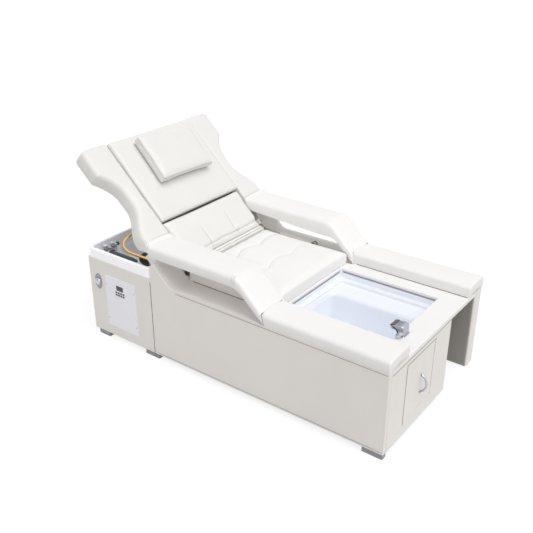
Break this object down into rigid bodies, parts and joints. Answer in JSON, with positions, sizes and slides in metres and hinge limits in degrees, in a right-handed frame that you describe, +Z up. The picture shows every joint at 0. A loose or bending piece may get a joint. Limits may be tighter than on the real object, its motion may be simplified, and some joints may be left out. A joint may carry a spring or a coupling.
{
  "type": "head spa chair",
  "caption": "Upholstered head spa bed with armrests, a foot tub, a reclining back whose head panel flips up, and a wash basin with a water arch in a cabinet.",
  "frame": {"origin": "centre of the whole chair's footprint, on the floor", "axes": "+Z up, +Y towards the head end with the wash basin, -Y towards the foot tub, -X the sitter's right with the control plate"},
  "size_m": [1.015, 1.9286, 1.0729],
  "materials": {
    "leather": "white leatherette",
    "side": "white leatherette on board",
    "steel": "dark grey paint",
    "frame": "dark frame tube",
    "board": "plywood",
    "acrylic": "gloss white acrylic",
    "grey_acrylic": "gloss pale grey acrylic",
    "chrome": "polished",
    "rod": "ground steel",
    "gold": "polished gold",
    "black_rubber": "soft black",
    "plate": "pale lavender film",
    "black_plastic": "gloss black",
    "dark_plastic": "dark grey-green",
    "dial": "satin",
    "tank": "plain"
  },
  "bodies": {
    "base": {"base_frame": "frame", "feet": "steel", "right_side_panel": "side", "left_side_panel": "side", "foot_box": "side", "deck": "leather", "foot_tub": "acrylic", "tub_drain": "chrome", "waterfall_spout": "chrome", "seat_base": "board", "seat_cushion": "leather", "rear_corners": "side", "right_foot_rail": "leather", "left_foot_rail": "leather", "right_armrest": "leather", "left_armrest": "leather", "spring_brackets": "steel", "hinge_brackets": "steel", "lumbar_brackets": "steel", "wash_cabinet": "side", "shampoo_basin": "grey_acrylic", "neck_rest": "black_rubber", "basin_drain": "chrome", "arch_pivots": "gold", "mixer_body": "chrome", "dial_ring": "dial", "control_plate": "plate", "plate_screws": "rod", "display": "black_plastic", "control_box": "dark_plastic", "heater_tank": "tank", "circulation_pump": "dark_plastic"},
    "backrest": {"back_levers": "steel", "back_frame": "frame", "right_wing": "leather", "left_wing": "leather", "panel_hinges": "steel"},
    "lumbar": {"lumbar_board": "board", "lumbar_cushion": "leather"},
    "head_panel_unit": {"head_panel_board": "board", "head_panel": "leather", "head_pillow": "leather"},
    "spring_tubes": {"gas_spring_tubes": "steel"},
    "spring_rods": {"gas_spring_rods": "rod"},
    "hatch": {"hatch_door": "side", "hatch_handle": "chrome"},
    "arch": {"water_arch": "gold"},
    "hot_tap": {"hot_handle": "chrome"},
    "cold_tap": {"cold_handle": "chrome"},
    "shower": {"hand_shower": "dark_plastic"},
    "spout_tap": {"spout_knob": "chrome"},
    "dial": {"dial_knob": "dial"},
    "button_1": {"key_1": "black_plastic"},
    "button_2": {"key_2": "black_plastic"},
    "button_3": {"key_3": "black_plastic"},
    "button_4": {"key_4": "black_plastic"},
    "button_5": {"key_5": "black_plastic"},
    "button_6": {"key_6": "black_plastic"},
    "button_7": {"key_7": "black_plastic"},
    "button_8": {"key_8": "black_plastic"}
  },
  "joints": [
    {"name": "back_recline", "type": "hinge", "parent": "base", "child": "backrest", "pos_m": [0.0075, 0.47668, 0.603], "axis": [1, 0, 0], "range_deg": [-43.2, 0]},
    {"name": "lumbar_swing", "type": "hinge", "parent": "base", "child": "lumbar", "pos_m": [0.0075, 0.37068, 0.5495], "axis": [1, 0, 0], "range_deg": [-21.65, 0]},
    {"name": "spring_swing", "type": "hinge", "parent": "base", "child": "spring_tubes", "pos_m": [0.0075, 0.00068, 0.5], "axis": [1, 0, 0], "range_deg": [0, 8.1]},
    {"name": "spring_slide", "type": "slide", "parent": "spring_tubes", "child": "spring_rods", "axis": [0, -0.9998, -0.0186], "range_m": [0, 0.0523]},
    {"name": "head_panel_flip", "type": "hinge", "parent": "backrest", "child": "head_panel_unit", "pos_m": [0.0075, 0.94056, 1.03712], "axis": [1, 0, 0], "range_deg": [-150, 0]},
    {"name": "arch_swing", "type": "hinge", "parent": "base", "child": "arch", "pos_m": [0.0075, 0.53868, 0.523], "axis": [1, 0, 0], "range_deg": [0, 45]},
    {"name": "hatch_swing", "type": "hinge", "parent": "base", "child": "hatch", "pos_m": [-0.0465, -0.92032, 0.25], "axis": [0, 0, 1], "range_deg": [0, 95]},
    {"name": "hot_turn", "type": "hinge", "parent": "base", "child": "hot_tap", "pos_m": [-0.4125, 0.87668, 0.52], "axis": [0, 0, 1], "range_deg": [0, 90]},
    {"name": "cold_turn", "type": "hinge", "parent": "base", "child": "cold_tap", "pos_m": [-0.3605, 0.87668, 0.52], "axis": [0, 0, 1], "range_deg": [0, 90]},
    {"name": "shower_lift", "type": "slide", "parent": "base", "child": "shower", "axis": [0, 0, 1], "range_m": [0, 0.12]},
    {"name": "spout_turn", "type": "hinge", "parent": "base", "child": "spout_tap", "pos_m": [-0.2125, -0.82532, 0.482], "axis": [1, 0, 0], "range_deg": [-90, 90]},
    {"name": "dial_turn", "type": "hinge", "parent": "base", "child": "dial", "pos_m": [-0.5025, 0.86668, 0.346], "axis": [1, 0, 0], "range_deg": [-120, 120]},
    {"name": "press_1", "type": "slide", "parent": "base", "child": "button_1", "axis": [1, 0, 0], "range_m": [0, 0.0015], "stiffness_N_per_m": 400, "springref_m": -0.001},
    {"name": "press_2", "type": "slide", "parent": "base", "child": "button_2", "axis": [1, 0, 0], "range_m": [0, 0.0015], "stiffness_N_per_m": 400, "springref_m": -0.001},
    {"name": "press_3", "type": "slide", "parent": "base", "child": "button_3", "axis": [1, 0, 0], "range_m": [0, 0.0015], "stiffness_N_per_m": 400, "springref_m": -0.001},
    {"name": "press_4", "type": "slide", "parent": "base", "child": "button_4", "axis": [1, 0, 0], "range_m": [0, 0.0015], "stiffness_N_per_m": 400, "springref_m": -0.001},
    {"name": "press_5", "type": "slide", "parent": "base", "child": "button_5", "axis": [1, 0, 0], "range_m": [0, 0.0015], "stiffness_N_per_m": 400, "springref_m": -0.001},
    {"name": "press_6", "type": "slide", "parent": "base", "child": "button_6", "axis": [1, 0, 0], "range_m": [0, 0.0015], "stiffness_N_per_m": 400, "springref_m": -0.001},
    {"name": "press_7", "type": "slide", "parent": "base", "child": "button_7", "axis": [1, 0, 0], "range_m": [0, 0.0015], "stiffness_N_per_m": 400, "springref_m": -0.001},
    {"name": "press_8", "type": "slide", "parent": "base", "child": "button_8", "axis": [1, 0, 0], "range_m": [0, 0.0015], "stiffness_N_per_m": 400, "springref_m": -0.001}
  ],
  "couplings": [
    {"joint": "lumbar_swing", "follows": "back_recline", "ratio": 0.5},
    {"joint": "spring_swing", "follows": "back_recline", "ratio": -0.18565},
    {"joint": "spring_slide", "follows": "back_recline", "m_per_rad": -0.0691}
  ]
}
